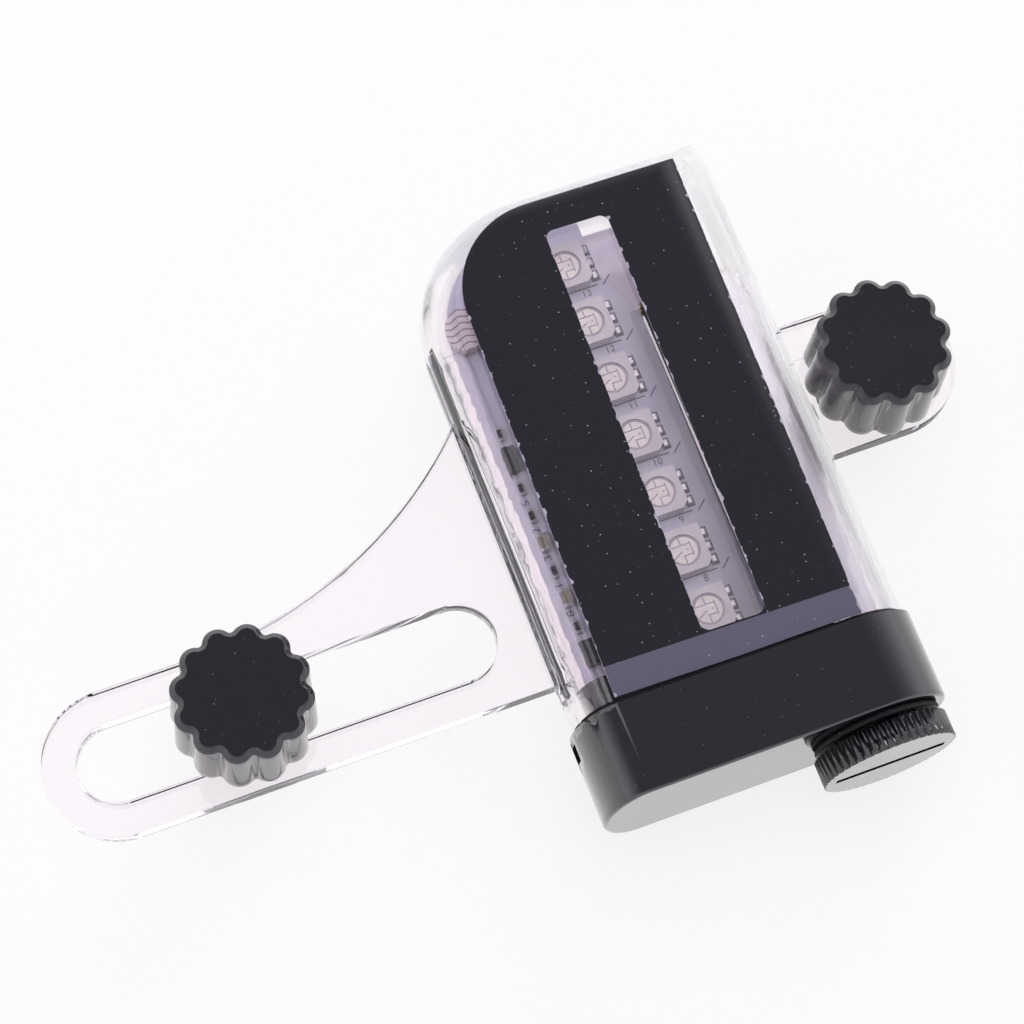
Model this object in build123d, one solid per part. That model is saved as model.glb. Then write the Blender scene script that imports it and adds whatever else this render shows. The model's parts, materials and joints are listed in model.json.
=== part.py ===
"""Spoke wheel light: a clear case with a slotted arm and a tab, each with a knob that clamps a spoke.

Millimetres. While modelling, X = 0 is the middle of the case's width, Y = 0 is the case's mouth,
Z = 0 is the middle of its thickness, the front label faces +Z and the domed end is at +Y.
Every piece is written in the row frame: origin under the middle of the whole light, lying on its back.
"""
from build123d import *
import math
import os

# Clear case
CASE_WIDTH = 37.7
CASE_HEADROOM = 16.3
CASE_THICKNESS = 15.0
CASE_WALL = 1.4
LEFT_ROUNDING = 4.0
DOME_RADIUS = 14.5
CORNER_RADIUS = 4.6
RAIL_WIDTH = 0.9
RAIL_DEPTH = 2.2

# Slotted arm and tab
ARM_THICKNESS = 2.5
ARM_WIDTH = 16.0
ARM_REACH = 45.7
ARM_AXIS_HEIGHT = 13.6
ARM_STRAIGHT = 9.8
ARM_SWEEP_RADIUS = 50.0
ARM_EDGE_CHAMFER = 0.2
SLOT_WIDTH = 8.55
SLOT_TRAVEL = 37.5
TAB_REACH = 9.3
TAB_AXIS_HEIGHT = 27.6
TAB_SEAT_DEPTH = 0.4
TAB_SEAT_ABOVE_KNOB = 4.6

# Black end cap
CAP_LENGTH = 9.9
CAP_STEP = 0.6
CAP_WALL = 2.4
CAP_FLOOR = 1.8
CAP_EDGE_ROUNDING = 0.5
SPIGOT_LENGTH = 3.6
SPIGOT_WALL = 1.1
SPIGOT_CLEARANCE = 0.1
GASKET_THICKNESS = 0.5
GASKET_INSET = 0.2
PORT_WALL = 1.0
PORT_HEIGHT = 4.2
LATCH_WIDTH = 2.4
LATCH_HEIGHT = 1.9
LATCH_DEPTH = 0.5
LATCH_DROP = 1.9

# Battery door
DOOR_RADIUS = 7.45
DOOR_RIM_LENGTH = 2.9
DOOR_RIBS = 48
DOOR_RIB_DEPTH = 0.22
DOOR_SHOULDER_LENGTH = 0.4
DOOR_SHOULDER_STEP = 0.35
DOOR_PLUG_RADIUS = 5.75
DOOR_PLUG_LENGTH = 5.9
DOOR_PLUG_WALL = 0.9
DOOR_PLUG_FLOOR = 1.2
DOOR_THREAD_CLEARANCE = 0.08
COIN_SLOT_LENGTH = 12.4
COIN_SLOT_WIDTH = 1.2
COIN_SLOT_DEPTH = 1.5
O_RING_SECTION = 0.9
O_RING_SQUEEZE = 0.05

# Battery and its contacts
CELL_RADIUS = 5.2
CELL_LENGTH = 43.5
CELL_NIPPLE_RADIUS = 1.9
CELL_NIPPLE_LENGTH = 1.0
CELL_EDGE_CHAMFER = 0.4
TUBE_WALL = 0.55
TUBE_CLEARANCE = 0.2
TUBE_END_GAP = 1.4
TUBE_FIN_THICKNESS = 0.8
TUBE_FIN_REACH = 1.35
CONTACT_THICKNESS = 0.4
CONTACT_WIDTH = 4.0
CONTACT_REACH = 3.5
SPRING_WIRE = 0.5
SPRING_TOP_RADIUS = 1.9
SPRING_BASE_RADIUS = 3.6
SPRING_TURNS = 3
SPRING_ARCS_A_TURN = 4
SPRING_GAP = 0.05
LEAD_DIAMETER = 1.1
LEAD_ARC_SHARE = 0.45
LEAD_GAP = 0.05
LEAD_ON_BOARD = 2.0
LEAD_STEP = 2.8
LEAD_TAB_LENGTH = 1.6

# Circuit board
BOARD_THICKNESS = 1.2
BOARD_LEFT_GAP = 1.3
BOARD_TUBE_GAP = 0.3
BOARD_HEAD_GAP = 0.6
BOARD_FOOT = 1.6
BOARD_NECK = 2.55
BOARD_SHOULDER = 6.0
BOARD_NECK_DROP = 0.2
BOARD_CORNER_RADIUS = 12.0
RAIL_CLEARANCE = 0.12

# Parts on the board
LEDS_A_SIDE = 7
LED_SIZE = 5.0
LED_HEIGHT = 1.6
LED_PITCH = 7.0
LED_ROW_INSET = 6.0
LED_FIRST = 7.6
LED_LENS_RADIUS = 1.8
LED_LENS_DEPTH = 0.3
LED_CORNER_CUT = 0.7
SENSOR_LENGTH = 5.0
SENSOR_WIDTH = 4.2
SENSOR_HEIGHT = 1.9
SENSOR_DROP = 10.5
SWITCH_RADIUS = 1.7
SWITCH_LENGTH = 7.5
SWITCH_EDGE_CHAMFER = 0.4
SWITCH_LED_STEPS = 5
CHIP_LENGTH = 8.6
CHIP_WIDTH = 3.9
CHIP_HEIGHT = 1.5
CHIP_LEG_REACH = 1.0
CHIP_LEG_WIDTH = 0.4
CHIP_LEG_PITCH = 1.27
CHIP_LEGS_A_SIDE = 7
CHIP_LEG_THICKNESS = 0.2
CHIP_LED_STEPS = 2.5
TRANSISTOR_LENGTH = 2.9
TRANSISTOR_WIDTH = 1.5
TRANSISTOR_HEIGHT = 1.1
RESISTOR_LENGTH = 1.6
RESISTOR_WIDTH = 0.8
RESISTOR_HEIGHT = 0.45
CAPACITOR_LENGTH = 2.0
CAPACITOR_WIDTH = 1.25
CAPACITOR_HEIGHT = 0.9
EDGE_ROW_INSET = 1.75
EDGE_ROW_PITCH = 3.3
TRANSISTOR_PLACES = (0, 7)
CAPACITOR_PLACES = (2, 4)
RESISTOR_PLACES = (1, 3, 5, 6, 8)

# Labels
LABEL_THICKNESS = 0.15
LABEL_LEFT_MARGIN = 4.1
LABEL_RIGHT_MARGIN = 5.9
LABEL_TOP_MARGIN = 2.6
LABEL_DOME_RADIUS = 10.6
LABEL_LEAN = 1.0
WINDOW_WIDTH = 7.15
WINDOW_FOOT_MARGIN = 1.0
WINDOW_OFFSET = 0.85
WINDOW_CORNER = 1.0

# Knob clamps
LEFT_CLAMP_PLACE = 13.85
RIGHT_CLAMP_REACH = 7.6
RIGHT_CLAMP_DROP = 0.55
KNOB_RADIUS = 7.7
KNOB_FLARE = 0.3
KNOB_HEIGHT = 8.6
KNOB_LOBES = 12
KNOB_LOBE_RADIUS = 1.9
KNOB_VALLEY_ROUNDING = 0.5
KNOB_TOP_CHAMFER = 0.6
LEFT_KNOB_PHASE = 6
RIGHT_KNOB_PHASE = 24
KNOB_CORE_RADIUS = 5.0
KNOB_CORE_DEPTH = 5.4
KNOB_HUB_RADIUS = 3.3
KNOB_GAP = 0.05
INSERT_RADIUS = 2.6
INSERT_LENGTH = 6.0
BOLT_RADIUS = 1.96
BOLT_CLEARANCE = 0.04
BOLT_HEAD_RADIUS = 3.4
BOLT_HEAD_HEIGHT = 1.5
BOLT_HEAD_SINK = 0.5
BOLT_HEAD_CHAMFER = 0.5
BOLT_POCKET_DEPTH = 0.9
BUSH_FLANGE_RADIUS = 5.6
BUSH_FLANGE_THICKNESS = 0.5
BUSH_BOSS_DEPTH = 2.1
BUSH_CLEARANCE = 0.1
PLATE_LENGTH = 11.6
PLATE_WIDTH = 6.0
PLATE_THICKNESS = 2.4
PLATE_GAP = 0.3
PLATE_EDGE_CHAMFER = 0.4
SPOKE_RADIUS = 1.0
SPOKE_OFFSET = 3.7
SPOKE_GROOVE_DEPTH = 0.6

# One overrun for every cut
OVERRUN = 1.0

# Places that follow from the sizes above
HALF_WIDTH = CASE_WIDTH / 2
HALF_THICKNESS = CASE_THICKNESS / 2
PORT_TOP = -CAP_LENGTH + CAP_FLOOR + PORT_HEIGHT
CELL_FOOT = PORT_TOP + CONTACT_THICKNESS + TUBE_END_GAP
CELL_TOP = CELL_FOOT + CELL_LENGTH + CELL_NIPPLE_LENGTH
CASE_LENGTH = CELL_TOP + CASE_HEADROOM
DOME_X = -HALF_WIDTH + DOME_RADIUS
DOME_Y = CASE_LENGTH - DOME_RADIUS
BATTERY_X = HALF_WIDTH - HALF_THICKNESS
ARM_END_X = -HALF_WIDTH - ARM_REACH
SLOT_RIGHT_X = ARM_END_X + SLOT_TRAVEL
TAB_END_X = HALF_WIDTH + TAB_REACH
ARM_TOP = ARM_THICKNESS / 2
PORT_RADIUS = DOOR_PLUG_RADIUS + DOOR_THREAD_CLEARANCE
DOOR_TOP = -CAP_LENGTH - O_RING_SECTION + 2 * O_RING_SQUEEZE
DOOR_FACE = DOOR_TOP - DOOR_SHOULDER_LENGTH - DOOR_RIM_LENGTH
TUBE_BORE = CELL_RADIUS + TUBE_CLEARANCE
TUBE_RADIUS = TUBE_BORE + TUBE_WALL
TUBE_FOOT = PORT_TOP + CONTACT_THICKNESS
TUBE_TOP = CELL_TOP
BOARD_TOP = BOARD_THICKNESS / 2
BOARD_RIGHT_EDGE = BATTERY_X - TUBE_RADIUS - BOARD_TUBE_GAP
LEAD_HEIGHT = BOARD_TOP + LEAD_DIAMETER / 2 + LEAD_GAP
BOARD_LEFT = -HALF_WIDTH + CASE_WALL + BOARD_LEFT_GAP
BOARD_HEAD = CASE_LENGTH - CASE_WALL - BOARD_HEAD_GAP
LED_ROW = BOARD_RIGHT_EDGE - LED_ROW_INSET
EDGE_ROW = BOARD_LEFT + EDGE_ROW_INSET
LABEL_WIDTH = CASE_WIDTH - LABEL_LEFT_MARGIN - LABEL_RIGHT_MARGIN
LABEL_TOP = CASE_LENGTH - LABEL_TOP_MARGIN
LABEL_X = (LABEL_LEFT_MARGIN - LABEL_RIGHT_MARGIN) / 2
WINDOW_FOOT = LED_FIRST - LED_SIZE / 2 - WINDOW_FOOT_MARGIN
WINDOW_LENGTH = (LEDS_A_SIDE - 1) * LED_PITCH + LED_SIZE + WINDOW_FOOT_MARGIN
LEFT_CLAMP_X = ARM_END_X + LEFT_CLAMP_PLACE
LEFT_CLAMP_Y = ARM_AXIS_HEIGHT
RIGHT_CLAMP_X = HALF_WIDTH + RIGHT_CLAMP_REACH
RIGHT_CLAMP_Y = TAB_AXIS_HEIGHT - RIGHT_CLAMP_DROP
KNOB_BASE = ARM_TOP + BUSH_FLANGE_THICKNESS + KNOB_GAP
PLATE_TOP = -ARM_TOP - PLATE_GAP
PLATE_BACK = PLATE_TOP - PLATE_THICKNESS

# Row frame: the origin is under the middle of the light's box, on the plane it lies on
LIGHT_LEFT = ARM_END_X - ARM_WIDTH / 2
LIGHT_RIGHT = max(TAB_END_X + ARM_WIDTH / 2, RIGHT_CLAMP_X + KNOB_RADIUS)
LIGHT_BOTTOM = -HALF_THICKNESS - CAP_STEP
ORIGIN_X = (LIGHT_LEFT + LIGHT_RIGHT) / 2
ORIGIN_Y = (DOOR_FACE + CASE_LENGTH) / 2
ROW_SHIFT = Location((-ORIGIN_X, -ORIGIN_Y, -LIGHT_BOTTOM))


def save(name, piece):
    """Writes one piece, in the row frame, as its own node."""
    piece = ROW_SHIFT * piece
    piece.label = name
    export_step(piece, os.path.join("parts", name + ".step"))
    print(name, len(piece.solids()), "solid(s)", round(piece.volume, 2), "mm3")


def case_section(inset):
    """The case's cross-section: a soft left edge and a half-round right edge that follows the battery."""
    half = HALF_THICKNESS - inset
    left = -HALF_WIDTH + LEFT_ROUNDING
    right = BATTERY_X
    top = Line((left, half), (right, half))
    edge = CenterArc((right, 0), half, 90, -180)
    bottom = Line((right, -half), (left, -half))
    side = EllipticalCenterArc((left, 0), LEFT_ROUNDING - inset, half, start_angle=90, arc_size=180)
    return make_face(top + edge + bottom + side)


def half_edge(reach, inset):
    """Half of the case seen end-on: flat faces that end in the soft edge, reach from the axis."""
    half = HALF_THICKNESS - inset
    start = reach - LEFT_ROUNDING
    top = Line((0, half), (start, half))
    edge = EllipticalCenterArc((start, 0), LEFT_ROUNDING - inset, half, start_angle=-90, arc_size=180)
    bottom = Line((start, -half), (0, -half))
    back = Line((0, -half), (0, half))
    return make_face(top + edge + bottom + back)


def case_form(inset, foot):
    """The case's outer form, or its hollow when inset: straight sides, a domed corner and a small one."""
    length = CASE_LENGTH + OVERRUN - foot
    run = extrude(Plane.XZ.offset(-foot) * case_section(inset), -length)
    side_on = Plane(origin=(DOME_X, DOME_Y, 0), x_dir=(0, 1, 0), z_dir=(1, 0, 0))
    upper = extrude(side_on * half_edge(DOME_RADIUS, inset), CASE_WIDTH)
    lower = Pos(0, (foot + DOME_Y) / 2, 0) * Box(2 * CASE_WIDTH, DOME_Y - foot, 2 * CASE_THICKNESS)
    end_on = Plane(origin=(DOME_X, DOME_Y, 0), x_dir=(-1, 0, 0), z_dir=(0, 1, 0))
    dome = revolve(end_on * half_edge(DOME_RADIUS, inset), Axis((DOME_X, DOME_Y, 0), (0, 0, -1)), 90)
    form = run & (upper + lower)
    corner = CORNER_RADIUS - inset
    spot = Pos(HALF_WIDTH - CORNER_RADIUS, CASE_LENGTH - CORNER_RADIUS, 0)
    reach = CORNER_RADIUS + OVERRUN
    square = spot * Pos(reach / 2, reach / 2, 0) * Box(reach, reach, 2 * CASE_THICKNESS)
    square -= spot * Cylinder(corner, 2 * CASE_THICKNESS)
    return form + dome - square


def arm_outline():
    """The arm's outline: a round end, a straight back and a long sweep up to the case."""
    half = ARM_WIDTH / 2
    upper = ARM_AXIS_HEIGHT + half
    lower = ARM_AXIS_HEIGHT - half
    start = ARM_END_X + ARM_STRAIGHT
    root = -HALF_WIDTH + CASE_WALL / 2
    turn = math.asin((root - start) / ARM_SWEEP_RADIUS)
    rise = ARM_SWEEP_RADIUS * (1 - math.cos(turn))
    sweep = CenterArc((start, upper + ARM_SWEEP_RADIUS), ARM_SWEEP_RADIUS, -90, math.degrees(turn))
    inner = Line((root, upper + rise), (root, lower))
    edge = Line((root, lower), (ARM_END_X, lower))
    end = CenterArc((ARM_END_X, ARM_AXIS_HEIGHT), half, 270, -180)
    back = Line((ARM_END_X, upper), (start, upper))
    return make_face(sweep + inner + edge + end + back)


def slot_outline():
    """The arm's long slot."""
    middle = (ARM_END_X + SLOT_RIGHT_X) / 2
    return Pos(middle, ARM_AXIS_HEIGHT) * SlotCenterToCenter(SLOT_TRAVEL, SLOT_WIDTH)


def make_arm():
    """Slotted arm, with softened edges."""
    arm = extrude(arm_outline() - slot_outline(), ARM_TOP, both=True)
    rims = arm.faces().filter_by(Axis.Z).edges()
    outside = rims.filter_by(lambda edge: edge.center().X < -HALF_WIDTH - CASE_WALL)
    return chamfer(outside, ARM_EDGE_CHAMFER)


def make_tab():
    """Short tab with a round end, a hole for the bush and a shallow seat behind it."""
    root = HALF_WIDTH - CASE_WALL / 2
    middle = Pos((root + TAB_END_X) / 2, TAB_AXIS_HEIGHT)
    outline = middle * Rectangle(TAB_END_X - root, ARM_WIDTH)
    outline += Pos(TAB_END_X, TAB_AXIS_HEIGHT) * Circle(ARM_WIDTH / 2)
    outline -= Pos(RIGHT_CLAMP_X, RIGHT_CLAMP_Y) * Circle(SLOT_WIDTH / 2)
    tab = extrude(outline, ARM_TOP, both=True)
    rims = tab.faces().filter_by(Axis.Z).edges()
    outside = rims.filter_by(lambda edge: edge.center().X > HALF_WIDTH + CASE_WALL / 2)
    tab = chamfer(outside, ARM_EDGE_CHAMFER)
    seat_top = RIGHT_CLAMP_Y + TAB_SEAT_ABOVE_KNOB
    seat = Box(CASE_WIDTH, CASE_WIDTH, TAB_SEAT_DEPTH, align=(Align.MIN, Align.MAX, Align.MIN))
    return tab - Pos(HALF_WIDTH, seat_top, -ARM_TOP) * seat


def make_case():
    """Clear case: shell, rails for the board, arm and tab in one moulding."""
    outer = case_form(0, GASKET_THICKNESS)
    hollow = case_form(CASE_WALL, -OVERRUN)
    shell = outer + make_arm() + make_tab() - hollow
    rail_foot = GASKET_THICKNESS + SPIGOT_LENGTH
    rail_length = DOME_Y - rail_foot
    for side in (1, -1):
        height = side * (BOARD_TOP + RAIL_CLEARANCE)
        align = (Align.MIN, Align.MIN, Align.MIN if side > 0 else Align.MAX)
        rail = Pos(-HALF_WIDTH + CASE_WALL / 2, rail_foot, height)
        rail *= Box(RAIL_DEPTH + CASE_WALL / 2, rail_length, RAIL_WIDTH, align=align)
        shell += rail & outer
    return shell


def cap_section(grow):
    """The case's section in the cap's plane, grown or, below zero, shrunk all round."""
    return Plane.XZ * case_section(-grow)


def make_end_cap():
    """Cap with a spigot that enters the case, a port for the door and a latch notch."""
    shell = extrude(Plane.XZ * case_section(-CAP_STEP), CAP_LENGTH)
    foot_face = shell.faces().sort_by(Axis.Y)[0]
    shell = fillet(foot_face.edges(), CAP_EDGE_ROUNDING)
    room = Pos(0, -CAP_LENGTH + CAP_FLOOR, 0) * extrude(cap_section(CAP_STEP - CAP_WALL), -CAP_LENGTH)
    shell -= room
    inset = CASE_WALL + SPIGOT_CLEARANCE
    spigot = extrude(cap_section(-inset), -SPIGOT_LENGTH) + extrude(cap_section(-inset), CAP_WALL)
    spigot -= extrude(cap_section(-inset - SPIGOT_WALL), -SPIGOT_LENGTH - OVERRUN)
    spigot -= extrude(cap_section(-inset - SPIGOT_WALL), CAP_WALL + OVERRUN)
    shell += spigot
    up = Plane(origin=(BATTERY_X, PORT_TOP, 0), x_dir=(1, 0, 0), z_dir=(0, 1, 0))
    shell -= extrude(up * Circle(TUBE_RADIUS + SPIGOT_CLEARANCE), SPIGOT_LENGTH - PORT_TOP + OVERRUN)
    port = Pos(BATTERY_X, PORT_TOP, 0) * Rot(90, 0, 0)
    length = PORT_TOP + CAP_LENGTH
    boss = Cylinder(PORT_RADIUS + PORT_WALL, length, align=(Align.CENTER, Align.CENTER, Align.MIN))
    bore = Cylinder(PORT_RADIUS, length + OVERRUN, align=(Align.CENTER, Align.CENTER, Align.MIN))
    shell += port * boss
    shell -= port * bore
    notch = Pos(-HALF_WIDTH - CAP_STEP, -LATCH_DROP, 0) * Box(2 * LATCH_DEPTH, LATCH_HEIGHT, LATCH_WIDTH)
    return shell - notch


def make_gasket():
    """Flat rubber seal between the case's rim and the cap."""
    ring = case_section(GASKET_INSET) - case_section(CASE_WALL)
    return extrude(Plane.XZ * ring, -GASKET_THICKNESS)


def ribbed_rim(radius, depth, ribs):
    """A disc whose edge is a ring of shallow ribs."""
    points = []
    for index in range(2 * ribs):
        angle = math.pi * index / ribs
        reach = radius - (depth if index % 2 else 0)
        points.append((reach * math.cos(angle), reach * math.sin(angle)))
    return make_face(Polyline(*points, close=True))


def make_door():
    """Screw-in battery door: ribbed rim, coin slot, shoulder and a hollow threaded plug."""
    up = Plane(origin=(BATTERY_X, DOOR_FACE, 0), x_dir=(1, 0, 0), z_dir=(0, 1, 0))
    rim = extrude(up * ribbed_rim(DOOR_RADIUS, DOOR_RIB_DEPTH, DOOR_RIBS), DOOR_RIM_LENGTH)
    shoulder_radius = DOOR_RADIUS - DOOR_SHOULDER_STEP
    shoulder = extrude(up.offset(DOOR_RIM_LENGTH) * Circle(shoulder_radius), DOOR_SHOULDER_LENGTH)
    body = DOOR_TOP - DOOR_FACE
    groove = DOOR_PLUG_RADIUS - O_RING_SECTION / 2
    neck = extrude(up.offset(body) * Circle(groove), -CAP_LENGTH - DOOR_TOP)
    plug = extrude(up.offset(-CAP_LENGTH - DOOR_FACE) * Circle(DOOR_PLUG_RADIUS), DOOR_PLUG_LENGTH)
    door = rim + shoulder + neck + plug
    cup_floor = -CAP_LENGTH - DOOR_FACE + DOOR_PLUG_FLOOR
    door -= extrude(up.offset(cup_floor) * Circle(DOOR_PLUG_RADIUS - DOOR_PLUG_WALL), DOOR_PLUG_LENGTH)
    slot = up * Rectangle(COIN_SLOT_LENGTH, COIN_SLOT_WIDTH)
    return door - extrude(slot, COIN_SLOT_DEPTH)


def make_o_ring():
    """Rubber ring squeezed between the cap's floor and the door's shoulder."""
    section = O_RING_SECTION / 2 - O_RING_SQUEEZE
    ring_radius = DOOR_RADIUS - DOOR_SHOULDER_STEP - O_RING_SECTION / 2
    spot = Pos(BATTERY_X, (-CAP_LENGTH + DOOR_TOP) / 2, 0)
    return spot * Rot(90, 0, 0) * Torus(ring_radius, section)


def make_cell():
    """AAA-size cell in a plain sleeve, its nipple towards the domed end."""
    up = Plane(origin=(BATTERY_X, CELL_FOOT, 0), x_dir=(1, 0, 0), z_dir=(0, 1, 0))
    body = extrude(up * Circle(CELL_RADIUS), CELL_LENGTH)
    body = chamfer(body.edges(), CELL_EDGE_CHAMFER)
    return body + extrude(up.offset(CELL_LENGTH) * Circle(CELL_NIPPLE_RADIUS), CELL_NIPPLE_LENGTH)


def make_tube():
    """Clear battery tube with two fins that hold the board's right edge."""
    up = Plane(origin=(BATTERY_X, TUBE_FOOT, 0), x_dir=(1, 0, 0), z_dir=(0, 1, 0))
    length = TUBE_TOP - TUBE_FOOT
    tube = extrude(up * Circle(TUBE_RADIUS), length)
    fin_foot = GASKET_THICKNESS + SPIGOT_LENGTH + SPIGOT_CLEARANCE
    fin_end = BATTERY_X - TUBE_RADIUS - TUBE_FIN_REACH
    fin_length = TUBE_TOP - fin_foot
    for side in (1, -1):
        height = side * (BOARD_TOP + RAIL_CLEARANCE)
        align = (Align.MIN, Align.MIN, Align.MIN if side > 0 else Align.MAX)
        fin = Box(BATTERY_X - fin_end, fin_length, TUBE_FIN_THICKNESS, align=align)
        tube += Pos(fin_end, fin_foot, height) * fin
    return tube - extrude(up * Circle(TUBE_BORE), length)


def make_positive_contact():
    """Spring-brass strip from the board's edge across the tube's top, where the cell's nipple presses."""
    left = BOARD_RIGHT_EDGE + LEAD_GAP
    right = BATTERY_X + CONTACT_REACH
    strip = Box(right - left, CONTACT_THICKNESS, CONTACT_WIDTH)
    return Pos((left + right) / 2, CELL_TOP + CONTACT_THICKNESS / 2, 0) * strip


def make_negative_contact():
    """Brass ring on the port's rim, under the tube, with a tab for the lead."""
    up = Plane(origin=(BATTERY_X, PORT_TOP, 0), x_dir=(1, 0, 0), z_dir=(0, 1, 0))
    ring = extrude(up * Circle(TUBE_RADIUS), CONTACT_THICKNESS)
    align = (Align.MAX, Align.MIN, Align.CENTER)
    tab = Box(TUBE_RADIUS + LEAD_TAB_LENGTH, CONTACT_THICKNESS, LEAD_DIAMETER, align=align)
    ring += Pos(BATTERY_X, PORT_TOP, LEAD_HEIGHT) * tab
    return ring - extrude(up * Circle(TUBE_BORE), CONTACT_THICKNESS)


def spring_point(turn, pitch, foot):
    """A point on the conical spring, turn counted from its base."""
    share = turn / SPRING_TURNS
    radius = SPRING_BASE_RADIUS + (SPRING_TOP_RADIUS - SPRING_BASE_RADIUS) * share
    angle = 2 * math.pi * turn
    return Vector(BATTERY_X + radius * math.cos(angle), foot + pitch * turn, radius * math.sin(angle))


def make_door_spring():
    """Conical contact spring that stands in the door's plug and presses on the cell."""
    foot = -CAP_LENGTH + DOOR_PLUG_FLOOR + SPRING_WIRE / 2 + SPRING_GAP
    pitch = (CELL_FOOT - SPRING_GAP - SPRING_WIRE / 2 - foot) / SPRING_TURNS
    arcs = []
    for index in range(SPRING_ARCS_A_TURN * SPRING_TURNS):
        turn = index / SPRING_ARCS_A_TURN
        middle = turn + 1 / (2 * SPRING_ARCS_A_TURN)
        end = turn + 1 / SPRING_ARCS_A_TURN
        arcs.append(ThreePointArc(spring_point(turn, pitch, foot), spring_point(middle, pitch, foot),
                                  spring_point(end, pitch, foot)))
    path = Wire(arcs)
    section = Plane(origin=path @ 0, z_dir=path % 0) * Circle(SPRING_WIRE / 2)
    print("spring: gap between turns", round(pitch - SPRING_WIRE, 2), "mm")
    return sweep(section, path)


def board_outline():
    """The board: rounded towards the dome, with a neck beside the end of the battery tube."""
    foot = GASKET_THICKNESS + BOARD_FOOT
    head = BOARD_HEAD
    neck = BOARD_RIGHT_EDGE - BOARD_NECK
    neck_foot = CELL_TOP - BOARD_NECK_DROP
    corner = BOARD_CORNER_RADIUS
    lines = Line((BOARD_LEFT, foot), (BOARD_RIGHT_EDGE, foot))
    lines += Line((BOARD_RIGHT_EDGE, foot), (BOARD_RIGHT_EDGE, neck_foot))
    lines += Line((BOARD_RIGHT_EDGE, neck_foot), (neck, neck_foot + BOARD_SHOULDER))
    lines += Line((neck, neck_foot + BOARD_SHOULDER), (neck, head))
    lines += Line((neck, head), (BOARD_LEFT + corner, head))
    lines += CenterArc((BOARD_LEFT + corner, head - corner), corner, 90, 90)
    lines += Line((BOARD_LEFT, head - corner), (BOARD_LEFT, foot))
    return make_face(lines)


def make_board():
    """White circuit board."""
    return extrude(board_outline(), BOARD_TOP, both=True)


def make_led(index):
    """One square LED with its round window; the first seven face the back."""
    front = index >= LEDS_A_SIDE
    body = Box(LED_SIZE, LED_SIZE, LED_HEIGHT, align=(Align.CENTER, Align.CENTER, Align.MIN))
    marked = body.edges().filter_by(Axis.Z).sort_by(Axis.X)[-2:].sort_by(Axis.Y)[0]
    body = chamfer(marked, LED_CORNER_CUT)
    body -= Pos(0, 0, LED_HEIGHT) * Cylinder(LED_LENS_RADIUS, 2 * LED_LENS_DEPTH)
    height = LED_FIRST + LED_PITCH * (index % LEDS_A_SIDE)
    if front:
        return Pos(LED_ROW, height, BOARD_TOP) * body
    return Pos(LED_ROW, height, -BOARD_TOP) * Rot(0, 180, 0) * body


def make_light_sensor():
    """Light-dependent resistor: an oval disc that looks out past the label's left edge."""
    disc = extrude(Ellipse(SENSOR_WIDTH / 2, SENSOR_LENGTH / 2), SENSOR_HEIGHT)
    return Pos(BOARD_LEFT + SENSOR_WIDTH / 2, BOARD_HEAD - SENSOR_DROP, BOARD_TOP) * disc


def make_motion_switch():
    """Sealed can with a spring inside that closes when the wheel shakes it."""
    can = Rot(90, 0, 0) * Cylinder(SWITCH_RADIUS, SWITCH_LENGTH)
    can = chamfer(can.edges(), SWITCH_EDGE_CHAMFER)
    height = LED_FIRST + SWITCH_LED_STEPS * LED_PITCH
    return Pos(LED_ROW - LED_SIZE - SWITCH_RADIUS, height, BOARD_TOP + SWITCH_RADIUS) * can


def make_controller_chip():
    """Chip that runs the light patterns, with its legs."""
    body = Box(CHIP_WIDTH, CHIP_LENGTH, CHIP_HEIGHT, align=(Align.CENTER, Align.CENTER, Align.MIN))
    chip = Pos(0, 0, CHIP_LEG_THICKNESS / 2) * body
    span = CHIP_WIDTH + 2 * CHIP_LEG_REACH
    leg = Box(span, CHIP_LEG_WIDTH, CHIP_LEG_THICKNESS, align=(Align.CENTER, Align.CENTER, Align.MIN))
    for index in range(CHIP_LEGS_A_SIDE):
        chip += Pos(0, CHIP_LEG_PITCH * (index - (CHIP_LEGS_A_SIDE - 1) / 2), 0) * leg
    height = LED_FIRST + CHIP_LED_STEPS * LED_PITCH
    return Pos(LED_ROW - LED_SIZE - CHIP_WIDTH / 2, height, BOARD_TOP) * chip


def edge_row(length, width, height, places):
    """Small parts in a row along the board's left edge, places counted in row steps."""
    solids = []
    for place in places:
        brick = Box(width, length, height, align=(Align.CENTER, Align.CENTER, Align.MIN))
        solids.append(Pos(EDGE_ROW, LED_FIRST + place * EDGE_ROW_PITCH, BOARD_TOP) * brick)
    return Compound(children=solids)


def label_outline():
    """The film label's outline with its window, upright."""
    left = LABEL_X - LABEL_WIDTH / 2
    right = LABEL_X + LABEL_WIDTH / 2
    foot = GASKET_THICKNESS
    corner = LABEL_DOME_RADIUS
    lines = Line((left, foot), (right, foot)) + Line((right, foot), (right, LABEL_TOP))
    lines += Line((right, LABEL_TOP), (left + corner, LABEL_TOP))
    lines += CenterArc((left + corner, LABEL_TOP - corner), corner, 90, 90)
    lines += Line((left, LABEL_TOP - corner), (left, foot))
    outline = make_face(lines)
    window = RectangleRounded(WINDOW_WIDTH, WINDOW_LENGTH, WINDOW_CORNER)
    return outline - Pos(LED_ROW + WINDOW_OFFSET, WINDOW_FOOT + WINDOW_LENGTH / 2) * window


def make_label(side):
    """Thin film that follows the case's face: side 1 is the front, -1 the back."""
    film = case_form(-LABEL_THICKNESS, GASKET_THICKNESS) - case_form(0, 0)
    turn = Pos(LABEL_X, GASKET_THICKNESS) * Rot(0, 0, -LABEL_LEAN) * Pos(-LABEL_X, -GASKET_THICKNESS)
    prism = extrude(turn * label_outline(), side * CASE_THICKNESS)
    return film & prism


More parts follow.
